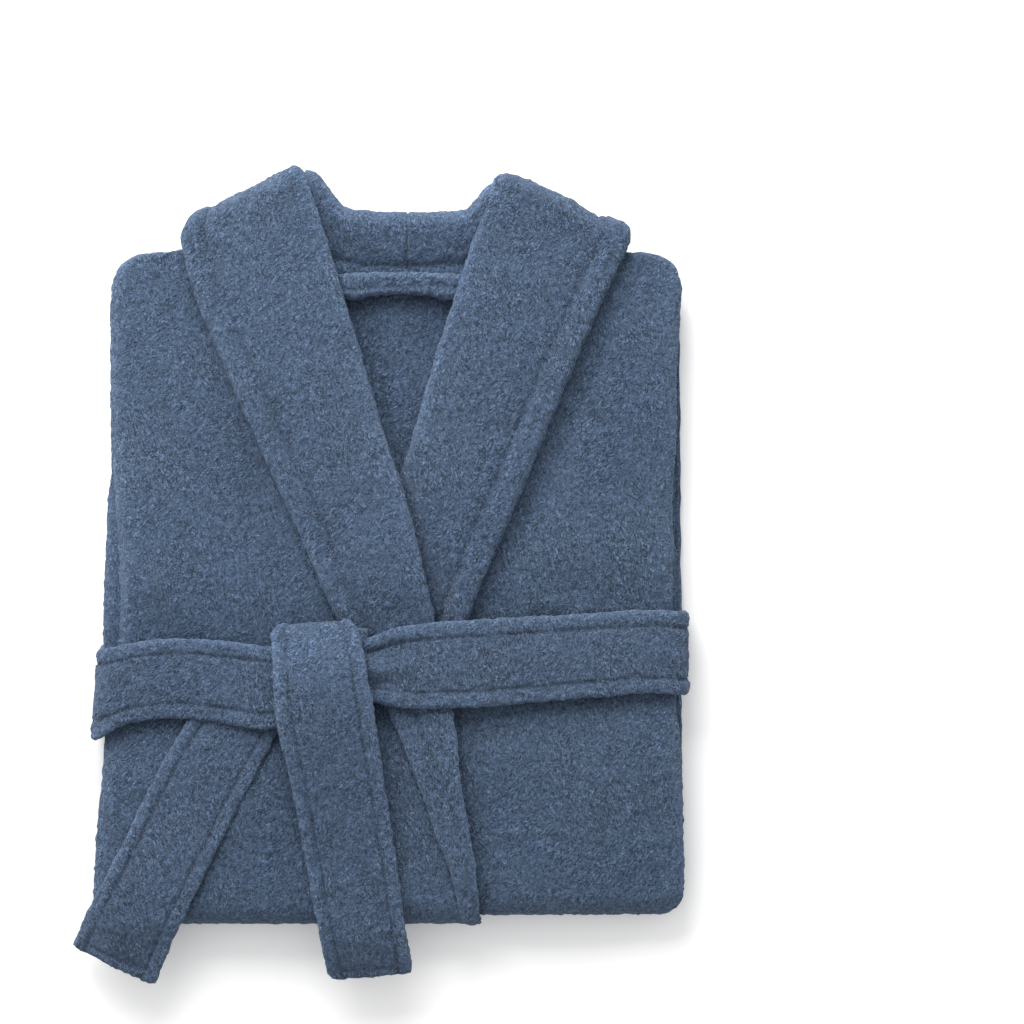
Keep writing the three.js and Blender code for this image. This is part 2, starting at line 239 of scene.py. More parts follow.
def crease(x, y, start, end, width, depth):
    """A soft fold along a line, deepest in its middle."""
    start, end = np.array(start, float), np.array(end, float)
    along = end - start
    length = np.hypot(*along)
    along /= length
    share = ((x - start[0]) * along[0] + (y - start[1]) * along[1]) / length
    off = (x - start[0]) * -along[1] + (y - start[1]) * along[0]
    reach = np.clip(1 - (2 * share - 1) ** 2, 0, 1)
    return depth * reach * (np.exp(-((off / width) ** 2)) - 0.6 * np.exp(-(((off - width) / width) ** 2)))


def waves(x, y):
    """Slow rise and fall of cloth that lies loosely."""
    return (
        0.9 * np.sin(x / 41 + y / 67 + 0.6)
        + 0.7 * np.sin(x / 29 - y / 38 + 2.1)
        + 0.5 * np.sin(y / 23 + x / 71 + 4.0)
    )


def crown(x, y):
    """How the folded robe falls away to its sides and shoulders."""
    return -4.0 * np.clip(np.abs(x - 8) / 205, 0, 1) ** 4 - 2.0 * np.clip((y - 150) / 90, 0, 1.3) ** 2


def left_z(x, y):
    """Middle of the left front's ply."""
    fold_in = (crease(x, y, (-128, -66), (-204, 96), 10, 3.4)
               + crease(x, y, (-176, 12), (-108, -52), 8, 1.2))
    low = (crease(x, y, (-60, -120), (-30, -236), 12, -1.5)
           + crease(x, y, (-175, -120), (-120, -225), 14, 1.6))
    low = low + crease(x, y, (-154, 236), (-38, -52), 12, -5.2)
    return LEFT_MID_Z + crown(x, y) + waves(x, y) + pinch(x, y) + fold_in + low


def right_z(x, y):
    """Middle of the right front's ply: it dips where the left front lies over it."""
    under = 1 - ease((x - front_edge(y)) / 26)
    soft = crease(x, y, (80, -10), (190, -36), 9, 1.4) + crease(x, y, (95, -112), (190, -130), 12, -1.6)
    soft = soft + crease(x, y, (64, -48), (182, 236), 11, -4.4)
    return RIGHT_MID_Z + crown(x, y) + waves(x + 60, y) + pinch(x, y) - 3.8 * under + soft


# ---- making a mesh ----


def surface_normals(middle):
    """Unit normals of a surface given as a grid of points."""
    normal = np.cross(np.gradient(middle, axis=0), np.gradient(middle, axis=1))
    return normal / np.maximum(np.linalg.norm(normal, axis=2, keepdims=True), 1e-9)


def slab(name, middle, half, seam=None, rim=None):
    """A closed piece of cloth from its middle surface and its half thickness, which is 0 at its border. It
    stores two masks for the colour: painted shade along stitch grooves and a painted highlight along
    edges.
    """
    rows, columns = half.shape
    bm = bmesh.new()
    for level in (1, -1):
        bmesh.ops.create_grid(
            bm, x_segments=rows - 1, y_segments=columns - 1, size=1,
            matrix=Matrix.Translation((0, 0, level)))
    mesh = bpy.data.meshes.new(name)
    bm.to_mesh(mesh)
    bm.free()
    co = np.zeros(len(mesh.vertices) * 3, np.float32)
    mesh.vertices.foreach_get("co", co)
    co = co.reshape(-1, 3)
    low, high = co.min(0), co.max(0)
    i = np.rint((co[:, 0] - low[0]) / (high[0] - low[0]) * (rows - 1)).astype(int)
    j = np.rint((co[:, 1] - low[1]) / (high[1] - low[1]) * (columns - 1)).astype(int)
    side = np.sign(co[:, 2])[:, None]
    place = middle[i, j] + side * surface_normals(middle)[i, j] * half[i, j][:, None]
    mesh.vertices.foreach_set("co", (place * MM).astype(np.float32).ravel())
    for label, mask in (("seam", seam), ("rim", rim)):
        layer = mesh.attributes.new(label, "FLOAT", "POINT")
        values = np.zeros(half.shape) if mask is None else mask
        layer.data.foreach_set("value", values[i, j].astype(np.float32))
    bm = bmesh.new()
    bm.from_mesh(mesh)
    bmesh.ops.remove_doubles(bm, verts=bm.verts, dist=2e-5)
    bmesh.ops.recalc_face_normals(bm, faces=bm.faces)
    bm.to_mesh(mesh)
    bm.free()
    piece = bpy.data.objects.new(name, mesh)
    bpy.context.scene.collection.objects.link(piece)
    return piece


def pile(piece, height):
    """Roughens a finished mesh with the tufts of the pile."""
    for label, size, share in (("tufts", 0.0032, 1.0), ("clumps", 0.011, 0.7)):
        texture = bpy.data.textures.get(label) or bpy.data.textures.new(label, "CLOUDS")
        texture.noise_scale = size
        texture.noise_depth = 1
        modifier = piece.modifiers.new(label, "DISPLACE")
        modifier.texture = texture
        modifier.texture_coords = "LOCAL"
        modifier.strength = height * share * 2
        modifier.mid_level = 0.5
    shown = piece.evaluated_get(bpy.context.evaluated_depsgraph_get())
    mesh = bpy.data.meshes.new_from_object(shown)
    piece.modifiers.clear()
    piece.data = mesh
    mesh.name = piece.name
    mesh.shade_smooth()
    return piece


# ---- materials ----


class Wire:
    """A node's output that can be used in Python arithmetic; each step adds a Math node."""

    def __init__(self, maker, socket):
        self.maker = maker
        self.socket = socket

    def _math(self, operation, a, b):
        return self.maker.node("ShaderNodeMath", {"operation": operation}, {0: a, 1: b})

    def __add__(self, other):
        return self._math("ADD", self, other)

    def __radd__(self, other):
        return self._math("ADD", other, self)

    def __sub__(self, other):
        return self._math("SUBTRACT", self, other)

    def __rsub__(self, other):
        return self._math("SUBTRACT", other, self)

    def __mul__(self, other):
        return self._math("MULTIPLY", self, other)

    def __rmul__(self, other):
        return self._math("MULTIPLY", other, self)


class Nodes:
    """Adds nodes to a material or a world."""

    def __init__(self, owner):
        owner.use_nodes = True
        self.tree = owner.node_tree
        self.tree.nodes.clear()

    def node(self, kind, settings=None, inputs=None, out=0):
        node = self.tree.nodes.new(kind)
        for key, value in (settings or {}).items():
            if key == "stops":
                ramp = node.color_ramp
                while len(ramp.elements) < len(value):
                    ramp.elements.new(0.5)
                for element, (position, colour) in zip(ramp.elements, value):
                    element.position = position
                    element.color = colour
            else:
                setattr(node, key, value)
        for key, value in (inputs or {}).items():
            if isinstance(value, Wire):
                self.tree.links.new(value.socket, node.inputs[key])
            else:
                node.inputs[key].default_value = value
        return Wire(self, node.outputs[out]) if len(node.outputs) else node


def grey(value):
    """A colour with no hue, for ramps that carry a number."""
    return (value, value, value, 1)


def fleece(label, colour, lean=0.0):
    """Short brushed pile: fine strokes that lie one way or another in patches, over small tufts."""
    material = bpy.data.materials.new(label)
    n = Nodes(material)
    place = n.node("ShaderNodeTexCoord", out="Object")

    def noise(scale, detail=2.0, rough=0.5, where=place, out="Fac", distort=0.0):
        return n.node(
            "ShaderNodeTexNoise", None,
            {"Vector": where, "Scale": scale, "Detail": detail, "Roughness": rough,
             "Distortion": distort}, out)

    def strokes(angle):
        turned = n.node(
            "ShaderNodeMapping", {"vector_type": "TEXTURE"},
            {"Vector": place, "Rotation": (0.3, 0.2, angle), "Scale": (0.00115, 0.0030, 0.0014)})
        return noise(1.0, 1.0, 0.5, turned, distort=1.3)

    patches = noise(19.0, 1.0)
    swing = n.node(
        "ShaderNodeValToRGB", {"stops": [(0.40, grey(0)), (0.60, grey(1))]}, {"Fac": patches})
    brushed = n.node(
        "ShaderNodeMix", {"data_type": "FLOAT"},
        {0: swing, 2: strokes(lean - 0.62), 3: strokes(lean + 0.28)}, 0)
    tufts = noise(330.0, 2.0, 0.5)
    fuzz = noise(1100.0, 1.0, 0.5)
    height = brushed * 0.72 + tufts * 0.22 + fuzz * 0.22
    shade = n.node(
        "ShaderNodeValToRGB",
        {"stops": [(0.45, grey(0.36)), (0.55, grey(0.78)), (0.65, grey(1.28)), (0.75, grey(2.10))]},
        {"Fac": height})
    drift = n.node(
        "ShaderNodeValToRGB",
        {"stops": [(0.30, (0.93, 0.94, 0.96, 1)), (0.70, (1.07, 1.05, 1.03, 1))]},
        {"Fac": noise(9.0, 2.0)})
    # Two masks are painted into the colour: painted shade along stitch grooves, and a painted highlight
    # along rounded edges.
    seam = n.node("ShaderNodeAttribute", {"attribute_name": "seam"}, out="Fac")
    rim = n.node("ShaderNodeAttribute", {"attribute_name": "rim"}, out="Fac")
    edge = 1.0 - seam * 0.42 + rim * 0.34
    tint = n.node(
        "ShaderNodeMix", {"data_type": "RGBA", "blend_type": "MULTIPLY"},
        {0: 1.0, 6: (*colour, 1), 7: shade}, 2)
    varied = n.node(
        "ShaderNodeMix", {"data_type": "RGBA", "blend_type": "MULTIPLY"}, {0: 1.0, 6: tint, 7: drift}, 2)
    final = n.node(
        "ShaderNodeVectorMath", {"operation": "SCALE"}, {0: varied, "Scale": edge}, 0)
    bump = n.node(
        "ShaderNodeBump", None, {"Height": height, "Strength": 1.0, "Distance": 0.0042})
    shader = n.node(
        "ShaderNodeBsdfPrincipled", None,
        {"Base Color": final, "Roughness": 0.95, "Normal": bump, "Specular IOR Level": 0.12,
         "Sheen Weight": 0.22, "Sheen Roughness": 0.45, "Sheen Tint": (0.62, 0.76, 1.0, 1)})
    n.node("ShaderNodeOutputMaterial", None, {"Surface": shader})
    return material


def dress(piece, kind):
    """Gives a piece its cloth; each kind is made once."""
    made = bpy.data.materials.get("pile_" + kind)
    if made is None:
        made = fleece("pile_" + kind, tuple(getattr(bpy.context.scene.robe_colours, kind)))
    piece.data.materials.clear()
    piece.data.materials.append(made)


def finish(piece, kind, body, nodes):
    """Adds a piece's pile and cloth, hides the frame's parts that it stands for, and attaches it to its
    body if one is given. A piece with no body given is left unattached."""
    pile(piece, bpy.context.scene.robe_sizes.pile)
    dress(piece, kind)
    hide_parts(*nodes)
    if body:
        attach(piece, body)
    return piece


# ---- body: each front and the back, with the skirt turned under at the fold ----

LEFT_SIDE = [
    (-262, -202), (-211, -202), (-179, -200), (-143, -196.5), (-108, -194), (-70, -187), (-30, -183.5),
    (50, -187), (78, -189), (95, -190.2), (150, -190), (192, -190), (208, -188), (219, -179),
    (226, -164),
]
RIGHT_SIDE = [
    (-262, 213.5), (-215, 213.3), (-179, 212.3), (-125, 211), (-90, 207), (-26, 204.6), (9, 205.3),
    (50, 204.6), (82, 206.7), (152, 208), (184, 210), (207, 210), (219, 203), (226, 189),
]
BACK_LEFT_SIDE = [
    (-262, -196), (-150, -194), (-108, -193), (-52, -195.5), (20, -193.5), (60, -191.5), (84, -188),
    (150, -186), (192, -186), (208, -184), (219, -175), (226, -160),
]
TURN = 15  # how far the fold's round edge reaches
RIGHT_INSET = 4.6  # the right front is folded a little higher than the left


def corner(distance, radius):
    """How far a side is set in at a round corner, at a distance from the corner's end."""
    return radius * (1 - rounded(distance, radius))


def corner_inset(y, inset=0.0):
    """How far a side is set in at the robe's corners by the fold."""
    return corner(y - FOLD_Y - inset - 0.5, CORNER_RADIUS)


def fold_drop(y, inset, reach, depth):
    """How far a surface round the fold has fallen."""
    start = FOLD_Y + inset + 1.8 + TURN
    return depth * (1 - np.sqrt(np.clip(1 - ((start - y) / reach) ** 2, 0, 1))) * (y < start)


def turned_panel(name, left, right, crest, upper_z, under_z, across, skirt, join, roll=13, inset=0.0):
    """A front or the back: rows run from the shoulder down, round the fold and back to the hem.

    left and right give the sides, crest the shoulder line, upper_z and under_z the two heights,
    skirt the sides of the turned-under part, join the height at which a side meets the next ply."""
    ply = bpy.context.scene.robe_sizes.ply / MM / 2
    fold = FOLD_Y + inset + ply
    start = fold + TURN
    fall = np.linspace(0, 1, int((PANEL_SHOULDER_Y - start) / 2.3))
    bend = np.linspace(0, np.pi, 17)[1:-1]
    under = np.linspace(start, HEM_Y, int((HEM_Y - start) / 7.5))
    a = (across / across[-1])[:, None]
    edge_left = across[:, None]
    edge_right = (across[-1] - across)[:, None]
    y = crest(a) + (start - crest(a)) * fall[None, :]
    x = left(y) + (right(y) - left(y)) * a
    z = upper_z(x, y)
    y_low = under[None, :] + 0 * a
    x_low = skirt[0](y_low) + (skirt[1](y_low) - skirt[0](y_low)) * a
    z_low = under_z(x_low, y_low)
    middle_z = (z[:, -1:] + z_low[:, :1]) / 2
    rise = (z[:, -1:] - z_low[:, :1]) / 2
    y_bend = start - TURN * np.sin(bend)[None, :] + 0 * a
    z_bend = middle_z + rise * np.cos(bend)[None, :]
    share = (1 - np.cos(bend)) / 2
    x_up = left(y_bend) + (right(y_bend) - left(y_bend)) * a
    x_down = skirt[0](y_bend) + (skirt[1](y_bend) - skirt[0](y_bend)) * a
    x_bend = x_up + (x_down - x_up) * share
    x, y, z = (np.concatenate(parts, axis=1) for parts in
               ((x, x_bend, x_low), (y, y_bend, y_low), (z, z_bend, z_low)))
    bend_share = np.concatenate([np.zeros(len(fall)), share, np.ones(len(under))])[None, :]
    for distance, meet in ((edge_left, join[0]), (edge_right, join[1])):
        if meet is not None:
            target = meet[0] + (meet[1] - meet[0]) * bend_share
            z = target + (z - target) * rounded(distance + 0 * z, roll)
    middle = np.stack([x, y, z], axis=-1)
    along = walk(middle[len(a) // 2])
    ends = np.minimum(along, along[-1] - along)[None, :]
    rim_distance = np.minimum(np.minimum(edge_left, edge_right), ends)
    half = ply * rounded(rim_distance, ply)
    hem = ridge(along[-1] - along, SKIRT_HEM, 1.8)[None, :] * np.ones_like(half)
    half = half - 0.35 * ply * hem
    # The hem's stitch line is also painted shade in the colour, and the sides get a painted highlight.
    rim = np.exp(-np.minimum(edge_left, edge_right) / 9) * np.ones_like(half)
    return slab(name, middle, half, seam=hem, rim=rim)


def lift_over_belt(y):
    """The turned-under skirt rises over the belt's back run."""
    return 4.4 * ease((y + 128) / 24) * (1 - ease(y / 24))


def panel_left():
    """The left front, on top of the right one."""
    across = stations(256, 1.8, 2.4)
    return turned_panel(
        "front_left",
        lambda y: profile(y, LEFT_SIDE) - 1.0 + corner_inset(y), lambda y: front_edge(y) - 4,
        lambda a: 225 + 22 * ease(a * 1.1), left_z,
        lambda x, y: LEFT_SKIRT_Z + lift_over_belt(y) + 0 * x, across,
        (lambda y: -200 + 8 * (y - FOLD_Y) / 450 + corner_inset(y), lambda y: 65.0 + 0 * y),
        ((25.0, 7.0), None), inset=-1.6)


def panel_right():
    """The right front, which runs under the left one."""
    across = stations(262, 1.8, 2.4)

    def inner(y):
        roll = 12 + (y - 69) * 0.325
        return np.where(y > 0, roll, -10 + y * 0.21) + 3

    return turned_panel(
        "front_right", inner, lambda y: profile(y, RIGHT_SIDE) - 1.8 - corner_inset(y, RIGHT_INSET),
        lambda a: 247 - 22 * ease(1.15 * a - 0.1), right_z,
        lambda x, y: RIGHT_SKIRT_Z + lift_over_belt(y) + 0 * x, across,
        (lambda y: -62.0 + 0 * y,
         lambda y: 212 - 3 * (y - FOLD_Y) / 450 - corner_inset(y, RIGHT_INSET)),
        (None, (23.0, 8.0)), inset=RIGHT_INSET)


def panel_back():
    """The back, whose inner side shows inside the collar."""
    across = stations(402, 1.8, 3.0)
    return turned_panel(
        "back", lambda y: profile(y, BACK_LEFT_SIDE) - 1.8 + corner_inset(y, BACK_INSET),
        lambda y: profile(y, RIGHT_SIDE) - 4 - corner_inset(y, BACK_INSET),
        lambda a: 226 + 0 * a,
        lambda x, y: BACK_Z + 0.5 * waves(x, y) + 0.6 * pinch(x, y) - 1.6 * ridge(y, 120, 60),
        lambda x, y: BACK_SKIRT_Z + lift_over_belt(y) + 0 * x, across,
        (lambda y: -196 + 8 * (y - FOLD_Y) / 450 + corner_inset(y, BACK_INSET),
         lambda y: 208 - 3 * (y - FOLD_Y) / 450 - corner_inset(y, BACK_INSET)),
        ((21.0, 8.0), (21.0, 8.5)), roll=10, inset=BACK_INSET)


# ---- collar ----


def strip(inner, outer, rows, columns):
    """Plan places of a strip between two smooth lines: rows across, columns along."""
    share = shares(inner, outer)
    start, end = line(inner, columns, share), line(outer, columns, share)
    return start[None] + (end - start)[None] * rows[:, None, None]


def over_the_top(plan, z, reach, drop):
    """Carries a strip's first columns round a fold behind it, so that its top edge is a roll.

    Also gives each column's distance from the roll's outermost line."""
    out = plan[:, 0] - plan[:, 1]
    out /= np.linalg.norm(out, axis=1, keepdims=True)
    turn = np.linspace(np.pi, 0, 11)[:-1]
    away = reach * np.sin(turn)
    plan_turn = plan[:, :1] + out[:, None] * away[None, :, None]
    z_turn = z[:, :1] - reach + reach * np.cos(turn)[None, :]
    back = np.array([1.0, 0.66, 0.33]) * drop
    plan_back = plan[:, :1] - out[:, None] * back[None, :, None]
    z_back = np.repeat(z_turn[:, :1], len(back), axis=1)
    walked = walk(plan[len(plan) // 2])
    distance = np.concatenate([reach + back, reach - away, reach + walked])
    return (np.concatenate([plan_back, plan_turn, plan], axis=1),
            np.concatenate([z_back, z_turn, z], axis=1), distance)


def squeeze(plan, low, high):
    """Narrows each column of a strip by the given insets, to round its corners."""
    first, last = plan[:1], plan[-1:]
    span = np.linalg.norm(last - first, axis=2, keepdims=True)
    way = (last - first) / span
    low, high = (np.broadcast_to(v, plan.shape[1])[None, :, None] for v in (low, high))
    return first + (plan - first) * (1 - (low + high) / span) + way * low


def collar_piece(name, inner, outer, width, length, height, hems, corners, bulge=None, body=None):
    """A lapel and its lower run. hems holds (distance from the outer edge, depth, width, painted shade in
    the groove).
    """
    thick = bpy.context.scene.robe_sizes.collar / MM / 2
    across = stations(width, 4.2, 2.2, fine=26, fine_step=1.5)
    columns = np.linspace(0, 1, int(length / 2.3))
    plan = strip(inner, outer, across / width, columns)
    a = (across / width)[:, None]
    if bulge is not None:
        out = plan[:, 0] - plan[:, 12]
        out /= np.linalg.norm(out, axis=1, keepdims=True)
        fade = 1 - ease(columns * length / 60)
        plan = plan + out[:, None] * (profile(a, bulge) * fade[None, :])[..., None]
    z = height(plan[..., 0], plan[..., 1]) + 1.8 * np.sin(np.pi * a)
    plan, z, from_top = over_the_top(plan, z, 8, 26)
    plan = squeeze(plan, corner(from_top, corners[0]), corner(from_top, corners[1]))
    middle = np.concatenate([plan, z[..., None]], axis=-1)
    narrow = np.linalg.norm(plan[-1] - plan[0], axis=1)[None, :] / width
    from_roll = across[:, None] * narrow
    from_edge = (width - across)[:, None] * narrow
    along = walk(middle[len(a) // 2])
    ends = np.minimum(along, along[-1] - along)[None, :]
    half = thick * np.ones_like(from_edge)
    if body is not None:
        half = half * body(plan[..., 0], plan[..., 1])
    half = half * (0.84 + 0.16 * ridge(from_roll, 0, 22)) + 1.5 * ridge(from_edge, 8, 7)
    seam = np.zeros_like(half)
    for distance, depth, wide, painted_groove_shade in hems:
        groove = ridge(from_edge, distance, wide) * np.clip(narrow / 0.45, 0, 1)
        half = half - depth * groove
        seam = seam + painted_groove_shade * groove
    half = half * rounded(np.minimum(from_roll, from_edge), 5.4) * rounded(ends, 3.0)
    # Painted highlight along the outer edge and the roll.
    rim = np.exp(-np.minimum(from_edge, from_roll) / 6)
    return slab(name, middle, half, seam=np.clip(seam, 0, 1), rim=rim)


def thinner_below(y):
    """The collar lies thinner below the belt, where it is the front's facing, and at the fold."""
    return (1 - 0.42 * ease((-8 - y) / 80)) * (1 - 0.45 * ease((-212 - y) / 26))


def collar_left():
    """The left lapel and the band below it, down to the fold."""
    hem = bpy.context.scene.robe_sizes.hem / MM
    inner = [(-53, 276), (-48, 262), (-32.4, 213), (-16.6, 160), (3, 93), (11.7, 69), (26.8, 12.6),
             (36.6, -32), (43, -66), (50, -100), (56.2, -154), (62.5, -188), (67.5, -230), (69, -246.6)]
    outer = [(-142, 234), (-135, 206), (-120.5, 169), (-104, 130), (-86, 90), (-68, 50), (-48, 5),
             (-30, -36), (-12, -70), (4, -98), (24, -145), (38, -184), (49, -215), (56, -246.6)]

    def height(x, y):
        peak = 7 * np.exp(-(((x + 58) / 40) ** 2) - ((y - 285) / 42) ** 2)
        over_right = 4.0 * ridge(y, 20, 60) * ease((x + 40) / 60)
        lift = 2.2 + 5.1 * thinner_below(y)
        return left_z(x, y) + lift + peak + over_right - fold_drop(y, 0, TURN + 2.6, 19)

    return collar_piece(
        "collar_left", inner, outer, COLLAR_WIDTH, 560, height,
        [(hem, 1.6, 4.5, 0.22), (hem + 1.5, 0.4, 1.6, 0.22)],
        (4, 14), body=lambda x, y: thinner_below(y))


def collar_right():
    """The right lapel, whose lower end goes under the left front."""
    hem = bpy.context.scene.robe_sizes.hem / MM
    inner = [(71.5, 258), (67.5, 246), (58, 218), (48, 187), (31.7, 134), (19, 89.6), (11.7, 68.6),
             (0, 33), (-12, -3), (-22, -34), (-30, -62), (-36, -90), (-40, -130), (-42, -180), (-44, -214)]
    outer = [(172, 229), (164, 212), (147.5, 176), (133, 143), (117, 106), (101, 66), (92, 45),
             (80, 18), (68, -10), (60, -32), (51, -58), (40, -90), (22, -130), (0, -180), (-14, -214)]

    def tuck(x, y):
        return 0.38 + 0.62 * ease((x - front_edge(y) + 8) / 24)

    def height(x, y):
        peak = 8 * np.exp(-(((x - 92) / 42) ** 2) - ((y - 280) / 40) ** 2)
        return right_z(x, y) + 1.9 + 5.1 * tuck(x, y) + peak

    bulge = [(0, 12), (0.06, 13.5), (0.15, 14), (0.3, 12.5), (0.42, 11), (0.56, 8.5), (0.68, 4.8),
             (0.77, 2.8), (0.86, 4.5), (0.94, 3), (1, 0)]
    return collar_piece(
        "collar_right", inner, outer, COLLAR_WIDTH, 520, height,
        [(hem + 2.5, 1.3, 2.4, 0.5), (9, 0.6, 1.6, 0.3)],
        (5, 7), bulge, tuck)


def neck_bands():
    """The part of the collar behind the neck, in two halves sewn together at the centre back; painted
    shade darkens their stitch lines and the centre join.
    """
    seam_x = (cad("neck_band_left", 1, "X") + cad("neck_band_right", 0, "X")) / 2
    pieces = []
    for side, far, top, bottom in (
        ("left", -56, [(-56, 274), (-50, 272), (-44.6, 268), (-38, 258.6), (-26, 247.8), (-9, 244.8),
                       (seam_x + 1, 243.8)],
         [(-54, 210.4), (-46, 210.2), (-38, 210), (-30, 209.6), (-16, 209), (0, 208.2),
          (seam_x + 1, 207.6)]),
        ("right", 80, [(seam_x - 1, 243.8), (40, 244.2), (55, 245.6), (62, 248), (68, 254.4),
                       (74, 261), (80, 265)],
         [(seam_x - 1, 207.6), (33, 208), (45, 208.8), (56, 209.2), (64, 209.8), (72, 210),
          (79, 210.2)]),
    ):
        columns = np.linspace(0, 1, 46)
        up = stations(BAND_HEIGHT, 2.4, 1.6)
        share = shares(bottom, top)
        low, high = line(bottom, columns, share), line(top, columns, share)
        plan = low[None] + (high - low)[None] * (up / BAND_HEIGHT)[:, None, None]
        rise = (up / BAND_HEIGHT)[:, None]
        climb = 6 * np.exp(-((plan[..., 0] - far) / 24) ** 2)
        z = BACK_Z + 4.6 + 7 * ease(1.15 * rise - 0.15) + climb * rise
        back = np.flip(np.transpose(plan, (1, 0, 2)), axis=1)
        plan_turned, z_turned, _ = over_the_top(back, np.flip(z.T, axis=1), 6, 30)
        middle = np.concatenate([plan_turned, z_turned[..., None]], axis=-1)
        across = columns[:, None] * abs(seam_x - far)
        along = walk(middle[20])
        from_low = (along[-1] - along)[None, :] + 0 * across
        ends = np.minimum(along[None, :], from_low)
        near = np.minimum(across, across[-1] - across) + 0 * ends
        centre = (across[-1] - across if side == "left" else across) + 0 * ends
        stitch = ridge(from_low, 9.5, 1.5)
        half = (2.3 + 1.6 * ease((from_low - 8) / 9)) * rounded(ends, 2.3) * rounded(near, 1.4)
        half = half - 0.7 * stitch * (near > 0)
        # Painted shade along the stitch line and the centre join, and a painted highlight near the band's
        # turned top.
        seam = 0.6 * stitch + 0.55 * ridge(centre, 0, 1.3)
        rim = 0.6 * ridge(from_low, 44, 8)
        piece = slab(
            f"neck_band_{side}_turned", middle, np.maximum(half, 0), seam=np.clip(seam, 0, 1), rim=rim)
        pieces.append((side, piece))
    return pieces


def loop_piece():
    """The hanging loop: a soft tube, its ends tucked back under it."""
    right = cad("hanging_loop", 1, "X") + 9
    left = cad("hanging_loop", 0, "X") - 5
    top = cad("hanging_loop", 1, "Y")
    length = right - left
    across = stations(LOOP_WIDTH, 3.2, 1.2)
    along = stations(length, 3.0, 1.6)
    t = (along / length)[None, :]
    a = (across / LOOP_WIDTH)[:, None]
    lobes = (4.5 * (ridge(t, 0.16, 0.09) + ridge(t, 0.86, 0.09))
             + 5 * (ridge(t, 0, 0.06) + ridge(t, 1, 0.06)))
    x = left + length * t + 0 * a
    y = top + 0.3 + 0.9 * np.sin(np.pi * t) - (15.5 + 0.8 * lobes) * a
    z = BACK_Z + 9.4 + 1.8 * np.sin(np.pi * t) * (1 - a) + 0.7 * np.sin(9 * t) - 1.2 * a
    middle = np.stack([x, y, z], axis=-1)
    edge = np.minimum(across, LOOP_WIDTH - across)[:, None] + 0 * t
    ends = np.minimum(along, length - along)[None, :] + 0 * a
    fold = ridge(across[:, None] + 0 * t, 11.5 + 1.6 * np.sin(5 * t), 2.0)
    half = (4.2 + 0.9 * ridge(across[:, None], 15, 4)) * rounded(edge, 5) * rounded(ends, 3.0) - 0.9 * fold
    half = np.maximum(half, 0) * (edge > 0) * (ends > 0)
    # Painted shade along the tucked fold, and a painted highlight along the edges.
    return slab("hanging_loop_tube", middle, half, seam=0.5 * fold, rim=np.exp(-edge / 3))


# ---- sleeves behind the back ----


def sleeve(side):
    """A flattened sleeve, folded behind the back; it narrows towards the cuff on its outer side."""
    node = f"sleeve_{side}"
    low_x, high_x = cad(node, 0, "X"), cad(node, 1, "X")
    low_y, high_y = cad(f"cuff_{side}", 1, "Y") - 6, cad(node, 1, "Y")
    z = (cad(node, 0, "Z") + cad(node, 1, "Z")) / 2 + 0.4
    width, length = high_x - low_x, high_y - low_y
    across, along = stations(width, 3.6, 5), stations(length, 3.6, 6)
    a, t = (across / width)[:, None], (along / length)[None, :]
    taper = 0.13 * (1 - t) if side == "left" else 0.0
    inner_taper = 0.13 * (1 - t) if side == "right" else 0.0
    x = low_x + width * (inner_taper + (1 - taper - inner_taper) * a)
    y = low_y + length * t + 0 * a
    middle = np.stack([x, y, z + 0.4 * waves(x * 2, y * 2)], axis=-1)
    edge = np.minimum(across, width - across)[:, None]
    ends = np.minimum(along, length - along)[None, :]
    half = 3.4 * rounded(np.minimum(edge, ends), 3.6)
    # Painted highlight along the sides.
    return slab(f"sleeve_{side}_folded", middle, half, rim=np.exp(-edge / 6) + 0 * half)


def cuff(side):
    """The turned end of a sleeve, with one line of stitching."""
    node = f"cuff_{side}"
    low_x, high_x = cad(node, 0, "X") - 0.5, cad(node, 1, "X") + 0.5
    low_y, high_y = cad(node, 0, "Y"), cad(node, 1, "Y")
    z = (cad(node, 0, "Z") + cad(node, 1, "Z")) / 2 + 0.4
    width, length = high_x - low_x, high_y - low_y
    across, along = stations(width, 4, 4), stations(length, 4, 3, fine=12, fine_step=1.6)
    x = low_x + across[:, None] + 0 * along[None, :]
    y = low_y + along[None, :] + 0 * across[:, None]
    middle = np.stack([x, y, z + 0 * x], axis=-1)
    edge = np.minimum(across, width - across)[:, None]
    ends = np.minimum(along, length - along)[None, :]
    seam = ridge(along[None, :], 8, 1.4) + 0 * edge
    half = (4.3 - 0.8 * seam) * rounded(np.minimum(edge, ends), 4.2)
    # Painted shade along the stitch line, and a painted highlight along the sides.
    return slab(f"cuff_{side}_turned", middle, half, seam=seam, rim=np.exp(-edge / 6) + 0 * half)


# ---- belt ----

BELT_HALF_WIDTH = [
    (-230, 30), (-196, 28.5), (-140, 28), (-84, 29), (-45, 26), (-8, 22.5), (14, 28.5), (50, 30.5),
    (85, 30.5), (150, 29.5), (230, 29),
]


def belt_top_z(x):
    """Height of the belt's middle along its front: over the tail and the knot, then down to the sides."""
    return profile(x, [(-212, 37), (-190, 41.5), (-165, 43.5), (-140, 45.5), (-84, 47.5), (-45, 48.5),
                       (-8, 48.5), (30, 47.5), (66, 46.8), (100, 42.6), (140, 40.2), (190, 38.6),
                       (218, 36)])


